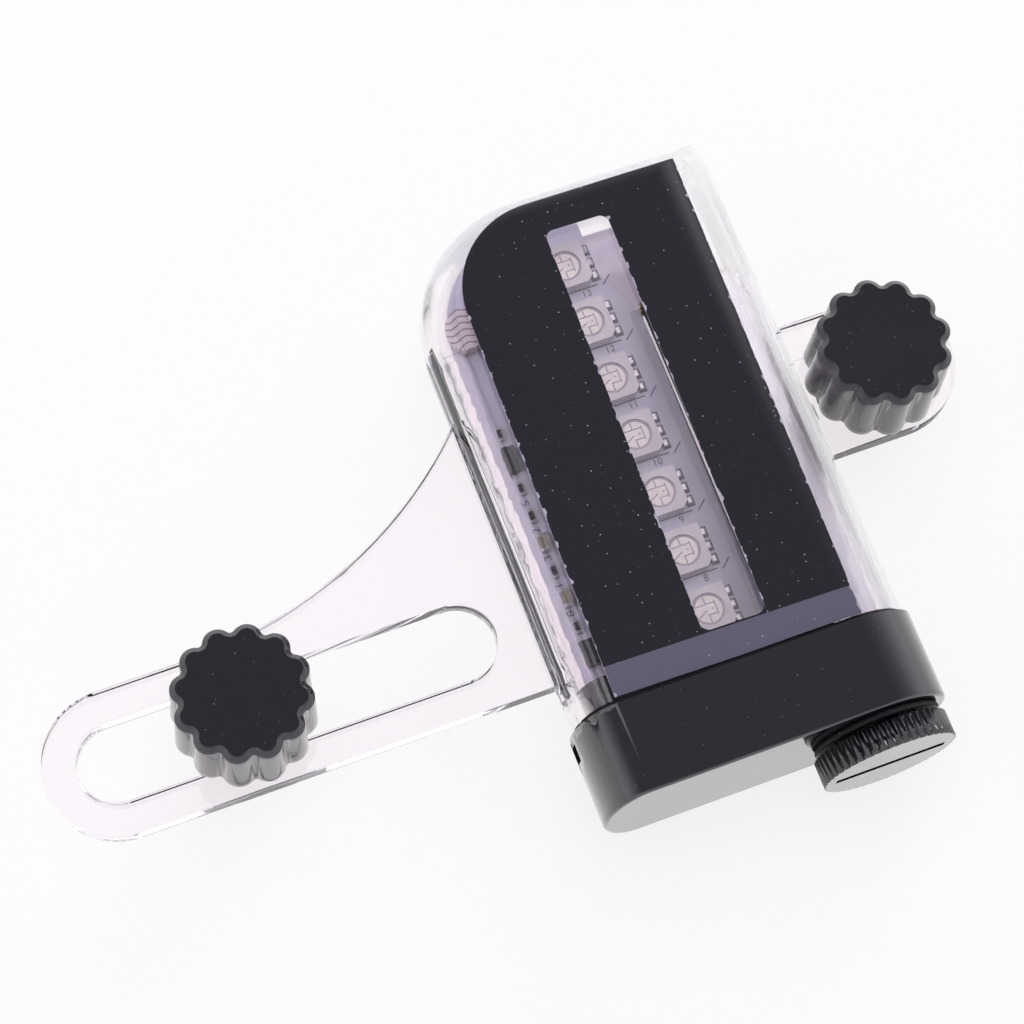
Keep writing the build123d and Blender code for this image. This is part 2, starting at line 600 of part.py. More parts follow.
def make_knob():
    """Lobed knob that flares to its base, cored underneath, with a hub round the insert."""
    centre = KNOB_RADIUS - KNOB_LOBE_RADIUS
    stand = (Align.CENTER, Align.CENTER, Align.MIN)
    lobe = Rot(0, 0, 180) * Cone(KNOB_LOBE_RADIUS, KNOB_LOBE_RADIUS - KNOB_FLARE, KNOB_HEIGHT, align=stand)
    knob = Cylinder(centre, KNOB_HEIGHT, align=stand)
    knob += PolarLocations(centre, KNOB_LOBES) * lobe
    valleys = knob.edges().filter_by(lambda edge: abs((edge @ 0).Z - (edge @ 1).Z) > KNOB_HEIGHT / 2)
    knob = fillet(valleys, KNOB_VALLEY_ROUNDING)
    crown = knob.faces().sort_by(Axis.Z)[-1]
    knob = chamfer(crown.edges(), KNOB_TOP_CHAMFER)
    core = extrude(Circle(KNOB_CORE_RADIUS) - Circle(KNOB_HUB_RADIUS), KNOB_CORE_DEPTH)
    knob -= core
    return knob - extrude(Circle(INSERT_RADIUS), INSERT_LENGTH)


def make_insert():
    """Threaded brass insert in the knob's hub."""
    return extrude(Circle(INSERT_RADIUS) - Circle(BOLT_RADIUS + BOLT_CLEARANCE), INSERT_LENGTH)


def make_bush():
    """Flanged bush that guides the bolt in the slot or the hole."""
    flange = Pos(0, 0, ARM_TOP) * extrude(Circle(BUSH_FLANGE_RADIUS), BUSH_FLANGE_THICKNESS)
    boss_radius = SLOT_WIDTH / 2 - BUSH_CLEARANCE
    boss = Pos(0, 0, ARM_TOP) * extrude(Circle(boss_radius), -BUSH_BOSS_DEPTH)
    bore = Cylinder(BOLT_RADIUS + BOLT_CLEARANCE, CASE_THICKNESS)
    return flange + boss - bore


def make_plate():
    """Clamp plate: a round-ended bar with a groove for a spoke on each side of its bolt."""
    outline = SlotOverall(PLATE_LENGTH, PLATE_WIDTH)
    plate = Pos(0, 0, PLATE_BACK) * extrude(outline, PLATE_THICKNESS)
    back = plate.faces().sort_by(Axis.Z)[0]
    plate = chamfer(back.edges(), PLATE_EDGE_CHAMFER)
    for side in (1, -1):
        groove = Rot(90, 0, 0) * Cylinder(SPOKE_RADIUS, PLATE_LENGTH)
        plate -= Pos(side * SPOKE_OFFSET, 0, PLATE_TOP + SPOKE_RADIUS - SPOKE_GROOVE_DEPTH) * groove
    plate -= Cylinder(BOLT_RADIUS, CASE_THICKNESS)
    sink = Cylinder(BOLT_HEAD_RADIUS, 2 * BOLT_HEAD_SINK)
    return plate - Pos(0, 0, PLATE_BACK) * sink


def make_bolt():
    """Pan-head bolt, fast in the plate, whose end runs in the knob's insert."""
    head_back = PLATE_BACK + BOLT_HEAD_SINK - BOLT_HEAD_HEIGHT
    head = Pos(0, 0, head_back) * extrude(Circle(BOLT_HEAD_RADIUS), BOLT_HEAD_HEIGHT)
    head = chamfer(head.faces().sort_by(Axis.Z)[0].edges(), BOLT_HEAD_CHAMFER)
    tip = KNOB_BASE + INSERT_LENGTH - BOLT_POCKET_DEPTH
    foot = head_back + BOLT_HEAD_HEIGHT / 2
    return head + Pos(0, 0, foot) * extrude(Circle(BOLT_RADIUS), tip - foot)


def make_negative_lead():
    """Insulated wire from the ring at the port to the foot of the board."""
    height = LEAD_HEIGHT
    ring_x = BATTERY_X - TUBE_RADIUS - LEAD_DIAMETER / 2 - LEAD_GAP
    ring_y = PORT_TOP + CONTACT_THICKNESS + LEAD_GAP
    pad_x = ring_x - LEAD_STEP
    pad_y = GASKET_THICKNESS + BOARD_FOOT + LEAD_ON_BOARD
    start = Vector(ring_x, ring_y, height)
    middle = Vector(ring_x - LEAD_GAP, (ring_y + pad_y) / 2, height)
    end = Vector(pad_x, pad_y, height)
    shorter = min((middle - start).length, (end - middle).length)
    half_turn = math.radians((middle - start).get_angle(end - middle) / 2)
    bend = LEAD_ARC_SHARE * shorter / math.tan(half_turn)
    print("lead: bend radius", round(bend, 2), "mm")
    path = FilletPolyline(start, middle, end, radius=bend)
    section = Plane(origin=path @ 0, z_dir=path % 0) * Circle(LEAD_DIAMETER / 2)
    return sweep(section, path)


def save_clamp(side, x, y, phase):
    """The five pieces of one knob clamp, the knob turned by its phase."""
    spot = Pos(x, y, 0)
    save(side + "_knob", spot * Pos(0, 0, KNOB_BASE) * Rot(0, 0, phase) * make_knob())
    save(side + "_insert", spot * Pos(0, 0, KNOB_BASE) * make_insert())
    save(side + "_bush", spot * make_bush())
    save(side + "_clamp_plate", spot * make_plate())
    save(side + "_bolt", spot * make_bolt())


os.makedirs("parts", exist_ok=True)

save("case", make_case())
save("end_cap", make_end_cap())
save("case_gasket", make_gasket())
save("battery_door", make_door())
save("door_o_ring", make_o_ring())
save("battery_cell", make_cell())
save("battery_tube", make_tube())
save("positive_contact", make_positive_contact())
save("negative_contact", make_negative_contact())
save("negative_lead", make_negative_lead())
save("door_spring", make_door_spring())
save("circuit_board", make_board())
for number in range(2 * LEDS_A_SIDE):
    save("led_" + str(number + 1), make_led(number))
save("light_sensor", make_light_sensor())
save("motion_switch", make_motion_switch())
save("controller_chip", make_controller_chip())
save("transistors", edge_row(TRANSISTOR_LENGTH, TRANSISTOR_WIDTH, TRANSISTOR_HEIGHT, TRANSISTOR_PLACES))
save("capacitors", edge_row(CAPACITOR_LENGTH, CAPACITOR_WIDTH, CAPACITOR_HEIGHT, CAPACITOR_PLACES))
save("resistors", edge_row(RESISTOR_LENGTH, RESISTOR_WIDTH, RESISTOR_HEIGHT, RESISTOR_PLACES))
save("front_label", make_label(1))
save("back_label", make_label(-1))
save_clamp("left", LEFT_CLAMP_X, LEFT_CLAMP_Y, LEFT_KNOB_PHASE)
save_clamp("right", RIGHT_CLAMP_X, RIGHT_CLAMP_Y, RIGHT_KNOB_PHASE)
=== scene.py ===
# %% [markdown]
# # A spoke wheel light, dressed in Blender
# The light is clamped to the spokes of a bicycle wheel. Its CAD pieces arrive as a fixed frame:
# a clear case with an arm and a tab, a black cap, a battery in its tube, a board with two rows of LEDs,
# and two knob clamps.
# This lesson gives each piece its finish and adds what is too fine for the CAD model.

# %% Load the frame
import json
import math

import bpy
from mathutils import Matrix, Vector

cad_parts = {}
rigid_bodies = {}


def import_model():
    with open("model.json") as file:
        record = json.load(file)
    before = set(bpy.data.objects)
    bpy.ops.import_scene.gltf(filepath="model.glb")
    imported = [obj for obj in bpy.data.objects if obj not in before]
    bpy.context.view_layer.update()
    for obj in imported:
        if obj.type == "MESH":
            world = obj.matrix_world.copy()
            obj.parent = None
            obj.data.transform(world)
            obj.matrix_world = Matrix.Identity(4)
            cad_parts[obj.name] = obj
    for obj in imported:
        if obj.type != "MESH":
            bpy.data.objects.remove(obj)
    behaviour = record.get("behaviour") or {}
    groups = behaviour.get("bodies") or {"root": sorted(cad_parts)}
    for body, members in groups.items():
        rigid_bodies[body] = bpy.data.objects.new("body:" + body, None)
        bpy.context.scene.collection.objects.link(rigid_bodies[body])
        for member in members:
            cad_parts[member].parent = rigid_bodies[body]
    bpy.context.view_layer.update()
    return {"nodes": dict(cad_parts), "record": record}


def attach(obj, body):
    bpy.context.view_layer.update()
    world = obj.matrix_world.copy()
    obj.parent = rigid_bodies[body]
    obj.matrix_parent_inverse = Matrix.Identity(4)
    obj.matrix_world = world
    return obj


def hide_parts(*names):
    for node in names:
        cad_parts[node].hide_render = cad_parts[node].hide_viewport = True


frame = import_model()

MM = 0.001
ROW_ORIGIN = (18.2, -22.35, 8.1)


def place(x, y, z):
    """A place counted in mm from the middle of the case's mouth, in metres in the frame."""
    return Vector([(a + b) * MM for a, b in zip((x, y, z), ROW_ORIGIN)])


# %% [markdown]
# ## The camera
# The photograph was taken from above and a little to the lower left of the light, through a long lens.
# A camera could be moved by eye until the picture fits, but a few mm of error would bend every comparison.
# So its place was worked out from edges whose sizes are known, and the values are plain numbers here.

# %% Camera
CAMERA_PLACE = (-55.44 * MM, -98.81 * MM, 331.26 * MM)
CAMERA_TURN = (19.6915, -3.0839, -20.9293)
CAMERA_LENS = 112.558
CAMERA_SENSOR = 36.0
CAMERA_NEAREST = 0.01
PHOTO_SIDE = 1024
SHIFT_PIXELS = (-1.72, 1.03)

camera_data = bpy.data.cameras.new("photo_camera")
camera_data.sensor_width = CAMERA_SENSOR
camera_data.lens = CAMERA_LENS
camera_data.shift_x = SHIFT_PIXELS[0] / PHOTO_SIDE
camera_data.shift_y = SHIFT_PIXELS[1] / PHOTO_SIDE
camera_data.clip_start = CAMERA_NEAREST
camera = bpy.data.objects.new("photo_camera", camera_data)
camera.location = CAMERA_PLACE
camera.rotation_euler = [math.radians(a) for a in CAMERA_TURN]
bpy.context.scene.collection.objects.link(camera)
bpy.context.scene.camera = camera
bpy.context.scene.view_settings.view_transform = "Standard"
print("camera lens in mm:", CAMERA_LENS)

# %% [markdown]
# ## Colours and nodes
# Colours are written as sRGB hex values, the way a colour picker shows them, and Blender wants them linear.
# A material could be wired by hand in the node editor; written down, the same wiring can be repeated.
# One small function adds a node with its settings and links, so that each material below reads as a recipe.


# %% Helpers for colours and nodes
def linear(hex_colour):
    """An sRGB hex colour as linear red, green, blue and alpha."""
    channels = [int(hex_colour[i:i + 2], 16) / 255 for i in (0, 2, 4)]
    return [c / 12.92 if c <= 0.04045 else ((c + 0.055) / 1.055) ** 2.4 for c in channels] + [1.0]


def node(material, kind, settings=None, **inputs):
    """Adds one node to a material; an input is a value or another node's output socket."""
    made = material.node_tree.nodes.new(kind)
    for name, value in (settings or {}).items():
        setattr(made, name, value)
    for name, value in inputs.items():
        key = int(name[1:]) if name[0] == "i" and name[1:].isdigit() else name.replace("_", " ")
        socket = made.inputs[key]
        if isinstance(value, bpy.types.NodeSocket):
            material.node_tree.links.new(value, socket)
        else:
            socket.default_value = value
    return made


def new_material(name):
    """An empty node material with its output node."""
    material = bpy.data.materials.new(name)
    material.use_nodes = True
    material.node_tree.nodes.clear()
    output = material.node_tree.nodes.new("ShaderNodeOutputMaterial")
    return material, output


def finish_material(material, output, shader):
    """Joins the last shader to the material's output."""
    material.node_tree.links.new(shader, output.inputs["Surface"])
    return material


print("middle grey as a linear value:", round(linear("808080")[0], 3))

# %% [markdown]
# ## The floor
# The photograph is a packshot: white all round, with a soft shadow under the object.
# A plain white floor would turn grey where the lamps fade, so this one gives a share of light of its own.
# Only the camera, mirrors and clear plastic see that share, so the floor still takes the soft shadow.

# %% Floor
FLOOR_SIDE = 6.0
FLOOR_GLOW = 0.82

bpy.ops.object.select_all(action="DESELECT")
bpy.ops.mesh.primitive_plane_add(size=FLOOR_SIDE, location=(0, 0, 0))
floor = bpy.context.object
floor.name = "studio_floor"
floor_paint, floor_output = new_material("matt white backdrop paper")
paper = node(floor_paint, "ShaderNodeBsdfDiffuse", Color=linear("F2F0F4"))
seen = node(floor_paint, "ShaderNodeLightPath")
seen_or_mirrored = node(floor_paint, "ShaderNodeMath", {"operation": "MAXIMUM"},
                        i0=seen.outputs["Is Camera Ray"], i1=seen.outputs["Is Glossy Ray"])
any_view = node(floor_paint, "ShaderNodeMath", {"operation": "MAXIMUM"},
                i0=seen_or_mirrored.outputs[0], i1=seen.outputs["Is Transmission Ray"])
white = node(floor_paint, "ShaderNodeEmission", Color=(1, 1, 1, 1), Strength=1.0)
share = node(floor_paint, "ShaderNodeMath", {"operation": "MULTIPLY"}, i0=any_view.outputs[0], i1=FLOOR_GLOW)
both = node(floor_paint, "ShaderNodeMixShader", i0=share.outputs[0], i1=paper.outputs[0],
            i2=white.outputs[0])
finish_material(floor_paint, floor_output, both.outputs[0])
floor.data.materials.append(floor_paint)
print("floor side in m:", FLOOR_SIDE)

# %% [markdown]
# ## The light all round
# In the photograph the black tops stay dark while the upright sides shine, so the studio is bright low down
# and dim overhead.
# A photographed sky could give that too, but a smooth step from the horizon to the zenith needs no image.

# %% World
HORIZON = (0.1, 1.25)
ZENITH = (0.9, 0.3)

world = bpy.data.worlds.new("white studio")
bpy.context.scene.world = world
world.use_nodes = True
world.node_tree.nodes.clear()
sky_way = node(world, "ShaderNodeTexCoord")
sky_split = node(world, "ShaderNodeSeparateXYZ", Vector=sky_way.outputs["Generated"])
sky_level = node(world, "ShaderNodeMapRange", {"interpolation_type": "SMOOTHSTEP"},
                 Value=sky_split.outputs["Z"], From_Min=HORIZON[0], From_Max=ZENITH[0], To_Min=HORIZON[1],
                 To_Max=ZENITH[1])
sky = node(world, "ShaderNodeBackground", Color=linear("F4F0FA"), Strength=sky_level.outputs[0])
node(world, "ShaderNodeOutputWorld", Surface=sky.outputs[0])
print("world nodes:", len(world.node_tree.nodes))

# %% [markdown]
# ## The lamps
# Soft boxes stand far out to the sides, low enough that the flat tops don't mirror them into the camera.
# The fill and the overhead lamp would still show in the glossy cap, so their mirror images are switched off.


# %% Lamps
def lamp(name, spot, size, power):
    """A square soft box that points at the middle of the floor."""
    data = bpy.data.lights.new(name, "AREA")
    data.shape = "SQUARE"
    data.size = size
    data.energy = power
    soft_box = bpy.data.objects.new(name, data)
    soft_box.location = spot
    soft_box.rotation_euler = (-Vector(spot)).to_track_quat("-Z", "Y").to_euler()
    bpy.context.scene.collection.objects.link(soft_box)
    return soft_box


lamp("key_soft_box", (0.5, 0.5, 0.42), 0.35, 1.5)
fill = lamp("fill_soft_box", (-0.6, 0.1, 0.4), 0.4, 0.9)
overhead = lamp("overhead_soft_box", (0.05, 0.1, 0.6), 0.5, 1.5)
overhead.visible_glossy = False
fill.visible_glossy = False

# %% [markdown]
# ## Smooth copies of the CAD pieces
# A CAD piece comes as loose triangles, so each one is copied and its corners are merged.
# Smooth shading alone would bend the light on the flat faces next to every rounding.
# So the faces that look straight along an axis, and those that add up to a broad flat with one normal,
# are marked as strong, and the corners take their normals from the strong faces wherever they touch one.
# A last pass gives the marked faces their own normal, because thin slivers at a corner can still tilt it.
# That keeps flat faces flat and roundings even, which matters most on clear plastic.

# %% Marking the flat faces
STRAIGHT = 0.99999
BROAD = 150 * MM ** 2


def direction(face):
    """The face's normal, rounded, so that the faces of one flat share it."""
    return tuple(round(part, 3) for part in face.normal)


def mark_flat_faces(copy):
    """Gives strength to the faces that lie straight along an axis or on a broad flat, and lists them."""
    flats = {}
    for face in copy.data.polygons:
        flats[direction(face)] = flats.get(direction(face), 0.0) + face.area
    bpy.ops.object.mode_set(mode="EDIT")
    bpy.ops.mesh.select_mode(type="FACE")
    bpy.ops.mesh.select_all(action="DESELECT")
    bpy.ops.object.mode_set(mode="OBJECT")
    for face in copy.data.polygons:
        face.select = max(abs(part) for part in face.normal) > STRAIGHT or flats[direction(face)] > BROAD
    bpy.ops.object.mode_set(mode="EDIT")
    bpy.ops.mesh.mod_weighted_strength(set=True, face_strength="STRONG")
    bpy.ops.object.mode_set(mode="OBJECT")
    return [face.index for face in copy.data.polygons if face.select]


def flatten_normals(copy, flat_faces):
    """Gives the corners of the listed faces the face's own normal."""
    normals = [corner.vector.copy() for corner in copy.data.corner_normals]
    for index in flat_faces:
        face = copy.data.polygons[index]
        for corner in face.loop_indices:
            normals[corner] = face.normal.copy()
    copy.data.normals_split_custom_set(normals)


print("a broad flat in square mm:", round(BROAD / MM ** 2))

# %% Copying a CAD piece
BODY_OF = {n: b for b, names in frame["record"]["behaviour"]["bodies"].items() for n in names}
MERGE_DISTANCE = 0.004 * MM
SHARP_ANGLE = math.radians(35)
SOFT_ANGLE = math.radians(28)


def soften_edges(copy, width):
    """Rounds the piece's edges by a width in mm."""
    bevel = copy.modifiers.new("soft edges", "BEVEL")
    bevel.width = width * MM
    bevel.segments = 3
    bevel.limit_method = "ANGLE"
    bevel.angle_limit = SOFT_ANGLE
    bpy.ops.object.modifier_apply(modifier="soft edges")


def smooth_copy(name, material, lift=0.0, soften=0.0):
    """A merged, smooth-shaded copy that stands for one CAD node, moved by lift along Z; sizes in mm."""
    copy = bpy.data.objects.new(name + "_shown", frame["nodes"][name].data.copy())
    bpy.context.scene.collection.objects.link(copy)
    bpy.ops.object.select_all(action="DESELECT")
    copy.select_set(True)
    bpy.context.view_layer.objects.active = copy
    bpy.ops.object.mode_set(mode="EDIT")
    bpy.ops.mesh.select_all(action="SELECT")
    bpy.ops.mesh.remove_doubles(threshold=MERGE_DISTANCE)
    bpy.ops.object.mode_set(mode="OBJECT")
    if soften:
        soften_edges(copy, soften)
    bpy.ops.object.shade_smooth_by_angle(angle=SHARP_ANGLE)
    flat_faces = mark_flat_faces(copy)
    weighted = copy.modifiers.new("flat faces", "WEIGHTED_NORMAL")
    weighted.mode = "CORNER_ANGLE"
    weighted.weight = 50
    weighted.use_face_influence = True
    weighted.keep_sharp = True
    bpy.ops.object.modifier_apply(modifier="flat faces")
    flatten_normals(copy, flat_faces)
    copy.location.z = lift * MM
    bpy.ops.object.transform_apply(location=True, rotation=True, scale=True)
    copy.data.materials.clear()
    copy.data.materials.append(material)
    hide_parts(name)
    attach(copy, BODY_OF[name])


print("CAD pieces with a body:", len(BODY_OF))

# %% [markdown]
# ## Opaque plastic and rubber
# The cap, the door and the knobs are moulded: a polished mould leaves a mirror, and a rough one a grain.
# An image could carry that grain, but noise in the object's own coordinates has a true size and no seams.
# Fine noise makes the grain, broad noise lets the gloss drift, and the rare peaks of a third noise are dust.

# %% Moulded plastic and rubber
DUST_SIZE = 0.3
GLOSS_DRIFT_SIZE = 9


def moulded(name, hex_colour, roughness, grain, coat=0.0, depth=0.004):
    """Moulded plastic or rubber; grain is the size of its texture in mm, and coat makes it polished."""
    material, output = new_material(name)
    where = node(material, "ShaderNodeTexCoord").outputs["Object"]
    fine = node(material, "ShaderNodeTexNoise", Vector=where, Scale=1 / (grain * MM), Detail=3.0)
    broad = node(material, "ShaderNodeTexNoise", Vector=where, Scale=1 / (GLOSS_DRIFT_SIZE * MM), Detail=2.0)
    specks = node(material, "ShaderNodeTexNoise", Vector=where, Scale=1 / (DUST_SIZE * MM), Detail=0.0)
    speck = node(material, "ShaderNodeMapRange", Value=specks.outputs["Fac"], From_Min=0.82, From_Max=0.86,
                 To_Min=0.0, To_Max=0.35)
    colour = node(material, "ShaderNodeMix", {"data_type": "RGBA"}, i0=speck.outputs[0],
                  i6=linear(hex_colour), i7=linear("8E8A94"))
    gloss = node(material, "ShaderNodeMapRange", Value=broad.outputs["Fac"], From_Min=0.3, From_Max=0.7,
                 To_Min=roughness * 0.85, To_Max=roughness * 1.2)
    bump = node(material, "ShaderNodeBump", Height=fine.outputs["Fac"], Strength=0.6, Distance=depth * MM)
    shader = node(material, "ShaderNodeBsdfPrincipled", Base_Color=colour.outputs[2],
                  Roughness=gloss.outputs[0], Normal=bump.outputs[0], Coat_Weight=coat, Coat_Roughness=0.06,
                  Coat_IOR=1.6)
    return finish_material(material, output, shader.outputs[0])


BLACK_GLOSS = moulded("black ABS, polished", "100E14", 0.16, 0.5, coat=1.0, depth=0.002)
BLACK_KNOB = moulded("black nylon, semi-gloss", "100E14", 0.24, 0.35, coat=0.7)
BLACK_SATIN = moulded("black ABS, satin", "1A181E", 0.42, 0.3)
RUBBER = moulded("black rubber, matt", "1C1B1F", 0.75, 0.25, depth=0.01)
LEAD_SKIN = moulded("black wire insulation, PVC", "1B1A20", 0.45, 0.4)
CHIP = moulded("black epoxy, matt", "232127", 0.5, 0.15)
print("mouldings:", [m.name for m in (BLACK_GLOSS, BLACK_KNOB, BLACK_SATIN, RUBBER, LEAD_SKIN, CHIP)])

# %% [markdown]
# ## Clear plastic
# The case is one thick clear moulding, so light bends at its roundings and the board shows through its face.
# A glass shader does that, but it also throws a hard black shadow.
# So shadow rays pass a transparent shader instead, and lamps reach what is inside.
# Along the far end and the right side the thick wall bends the view onto dark parts, and a dark band would
# show where the photograph is pale. There the shader has less body: a choice made for the picture.

# %% Clear plastic
CASE_RIGHT = 18.85
RIM_BODY = 0.3
RIM_END = (51.5, 53.5)
RIM_SIDE = (CASE_RIGHT - 7.2, CASE_RIGHT - 5.8)
TAB_START = CASE_RIGHT + 0.1
FLOW_DEPTH = 0.003
FLOW_SIZE = 7
HAZE_SIZE = 1.5


def rim_body(material, where):
    """The share of the body: less along the case's far end and its right side, whole on the tab."""
    spot = node(material, "ShaderNodeMapping", Vector=where, Scale=(1 / MM, 1 / MM, 1 / MM),
                Location=-Vector(ROW_ORIGIN))
    parts = node(material, "ShaderNodeSeparateXYZ", Vector=spot.outputs[0])
    end = node(material, "ShaderNodeMapRange", Value=parts.outputs["Y"], From_Min=RIM_END[0],
               From_Max=RIM_END[1], To_Min=1.0, To_Max=RIM_BODY)
    side = node(material, "ShaderNodeMapRange", Value=parts.outputs["X"], From_Min=RIM_SIDE[0],
                From_Max=RIM_SIDE[1], To_Min=1.0, To_Max=RIM_BODY)
    tab = node(material, "ShaderNodeMath", {"operation": "GREATER_THAN"}, i0=parts.outputs["X"],
               i1=TAB_START)
    side = node(material, "ShaderNodeMath", {"operation": "MAXIMUM"}, i0=side.outputs[0], i1=tab.outputs[0])
    rim = node(material, "ShaderNodeMath", {"operation": "MINIMUM"}, i0=end.outputs[0], i1=side.outputs[0])
    return rim.outputs[0]


def clear_plastic(name, hex_colour, roughness, ior, pale_rim=False):
    """Clear plastic with faint flow marks and haze, which lets lamps through to what is behind it."""
    material, output = new_material(name)
    where = node(material, "ShaderNodeTexCoord").outputs["Object"]
    flow = node(material, "ShaderNodeTexNoise", Vector=where, Scale=1 / (FLOW_SIZE * MM), Detail=1.0)
    haze = node(material, "ShaderNodeTexNoise", Vector=where, Scale=1 / (HAZE_SIZE * MM), Detail=4.0)
    gloss = node(material, "ShaderNodeMapRange", Value=haze.outputs["Fac"], From_Min=0.35, From_Max=0.75,
                 To_Min=roughness, To_Max=roughness * 2.5)
    bump = node(material, "ShaderNodeBump", Height=flow.outputs["Fac"], Strength=1.0,
                Distance=FLOW_DEPTH * MM)
    shader = node(material, "ShaderNodeBsdfPrincipled", Base_Color=linear(hex_colour),
                  Roughness=gloss.outputs[0], Normal=bump.outputs[0], IOR=ior, Transmission_Weight=1.0,
                  Alpha=rim_body(material, where) if pale_rim else 1.0)
    path = node(material, "ShaderNodeLightPath")
    open_way = node(material, "ShaderNodeBsdfTransparent", Color=linear("F8F6FA"))
    mixed = node(material, "ShaderNodeMixShader", i0=path.outputs["Is Shadow Ray"], i1=shader.outputs[0],
                 i2=open_way.outputs[0])
    return finish_material(material, output, mixed.outputs[0])


CLEAR_CASE = clear_plastic("clear polycarbonate, polished", "FBF7FA", 0.015, 1.5, pale_rim=True)
CLEAR_TUBE = clear_plastic("clear moulded battery tube, light haze", "FDFCFD", 0.04, 1.25)
print("clear plastics:", [CLEAR_CASE.name, CLEAR_TUBE.name])

# %% [markdown]
# ## Fine surfaces
# Metal, film, board and ceramic all have a grain much finer than a millimetre.
# One noise can drive both its height and its gloss, as it does on a real surface, where hollows look duller.
# This helper adds that noise once, and the recipes below only choose its size, its depth and its gloss.


# %% A grain that drives both height and gloss
def fine_grain(material, where, scale, low, high, strength, depth):
    """Noise with the roughness it leads to, from low to high, and the normal of its bump, depth in mm."""
    fine = node(material, "ShaderNodeTexNoise", Vector=where, Scale=scale, Detail=3.0)
    gloss = node(material, "ShaderNodeMapRange", Value=fine.outputs["Fac"], From_Min=0.3, From_Max=0.7,
                 To_Min=low, To_Max=high)
    bump = node(material, "ShaderNodeBump", Height=fine.outputs["Fac"], Strength=strength,
                Distance=depth * MM)
    return fine, gloss.outputs[0], bump.outputs[0]


def measured(material, where, origin=ROW_ORIGIN):
    """Coordinates counted in mm from an origin that is given in mm."""
    return node(material, "ShaderNodeMapping", Vector=where, Scale=(1 / MM, 1 / MM, 1 / MM),
                Location=[-c for c in origin]).outputs[0]


print("grain helper ready, for lengths in mm")

# %% [markdown]
# ## Metal
# The contacts are rolled brass, the bolts are zinc-plated steel and the spring is bright wire.
# Rolling draws the grain out along the strip, so the coordinates are stretched along one axis for those.


# %% Metal
def plated(name, hex_colour, roughness, grain, stretch=(1, 1, 1)):
    """Plated or rolled metal; grain is its texture's size in mm and stretch draws it out along an axis."""
    material, output = new_material(name)
    where = node(material, "ShaderNodeTexCoord").outputs["Object"]
    drawn = node(material, "ShaderNodeMapping", Vector=where, Scale=stretch)
    fine, gloss, normal = fine_grain(material, drawn.outputs[0], 1 / (grain * MM), roughness * 0.8,
                                     roughness * 1.3, 0.4, 0.004)
    colour = node(material, "ShaderNodeMix", {"data_type": "RGBA", "blend_type": "MULTIPLY"}, i0=0.25,
                  i6=linear(hex_colour), i7=fine.outputs["Color"])
    shader = node(material, "ShaderNodeBsdfPrincipled", Base_Color=colour.outputs[2], Roughness=gloss,
                  Normal=normal, Metallic=1.0)
    return finish_material(material, output, shader.outputs[0])


BRASS = plated("nickel brass, rolled", "C2A76E", 0.3, 0.4, stretch=(1, 6, 1))
STEEL = plated("zinc-plated steel", "BDBCC2", 0.32, 0.3)
SPRING_STEEL = plated("spring steel, nickel-plated", "C6C4C8", 0.25, 0.3)
CAN_STEEL = plated("nickel-plated can", "C8C2BC", 0.28, 0.3, stretch=(4, 1, 4))
print("metals:", [m.name for m in (BRASS, STEEL, SPRING_STEEL, CAN_STEEL)])

# %% [markdown]
# ## Board, LED housings and battery sleeve
# Solder mask, white housings and a white sleeve are never one even colour: they drift over some mm.
# Two close colours and a slow noise between them show that, and a fine grain breaks the highlights.

# %% Surfaces between two close colours
TWO_TONE_GRAIN = 0.15


def two_tone(name, hex_low, hex_high, size, roughness):
    """A fine surface that drifts between two close colours over a size in mm."""
    material, output = new_material(name)
    where = node(material, "ShaderNodeTexCoord").outputs["Object"]
    drift = node(material, "ShaderNodeTexNoise", Vector=where, Scale=1 / (size * MM), Detail=2.0)
    between = node(material, "ShaderNodeMapRange", Value=drift.outputs["Fac"], From_Min=0.35, From_Max=0.65)
    colour = node(material, "ShaderNodeMix", {"data_type": "RGBA"}, i0=between.outputs[0],
                  i6=linear(hex_low), i7=linear(hex_high))
    _, gloss, normal = fine_grain(material, where, 1 / (TWO_TONE_GRAIN * MM), roughness * 0.85,
                                  roughness * 1.2, 0.5, 0.003)
    shader = node(material, "ShaderNodeBsdfPrincipled", Base_Color=colour.outputs[2], Roughness=gloss,
                  Normal=normal)
    return finish_material(material, output, shader.outputs[0])


BOARD = two_tone("lilac-white solder mask over copper", "B6B3C8", "C2C0D0", 5, 0.4)
LED_BODY = two_tone("white LED housing, PPA", "CCC5CE", "D4CED6", 3, 0.42)
SLEEVE = two_tone("battery sleeve, white film", "E9E4EE", "F2EEF4", 8, 0.3)
print("two-tone surfaces:", [m.name for m in (BOARD, LED_BODY, SLEEVE)])

# %% [markdown]
# ## The printed film of the labels
# Each label is a thin black film with a long window and a grey stripe at its foot, glued on a degree askew.
# The print could be an image, but edges that are worked out from the label's own mm stay sharp at any size.
# Along its long edges glue has crept out in small blisters, and the satin film holds pale dust.

# %% Printed film
LABEL_PIVOT = Vector((-0.9, 0.5, 0.0))
LABEL_LEAN = math.radians(1.0)
LABEL_HALF = 13.85
WINDOW_EDGES = (-2.725, 4.425)
WINDOW_MIDDLE = 27.6
WINDOW_HALF = 23.6
STRIPE_TOP = 3.4
STRIPE_BLUR = 0.03
BLISTER_SIZE = 0.9
BLISTER_REACH = (0.01, 0.4)
SPECK_SPACING = 1.5
SPECK_RADIUS = 0.045
FILM_GRAIN = 0.25


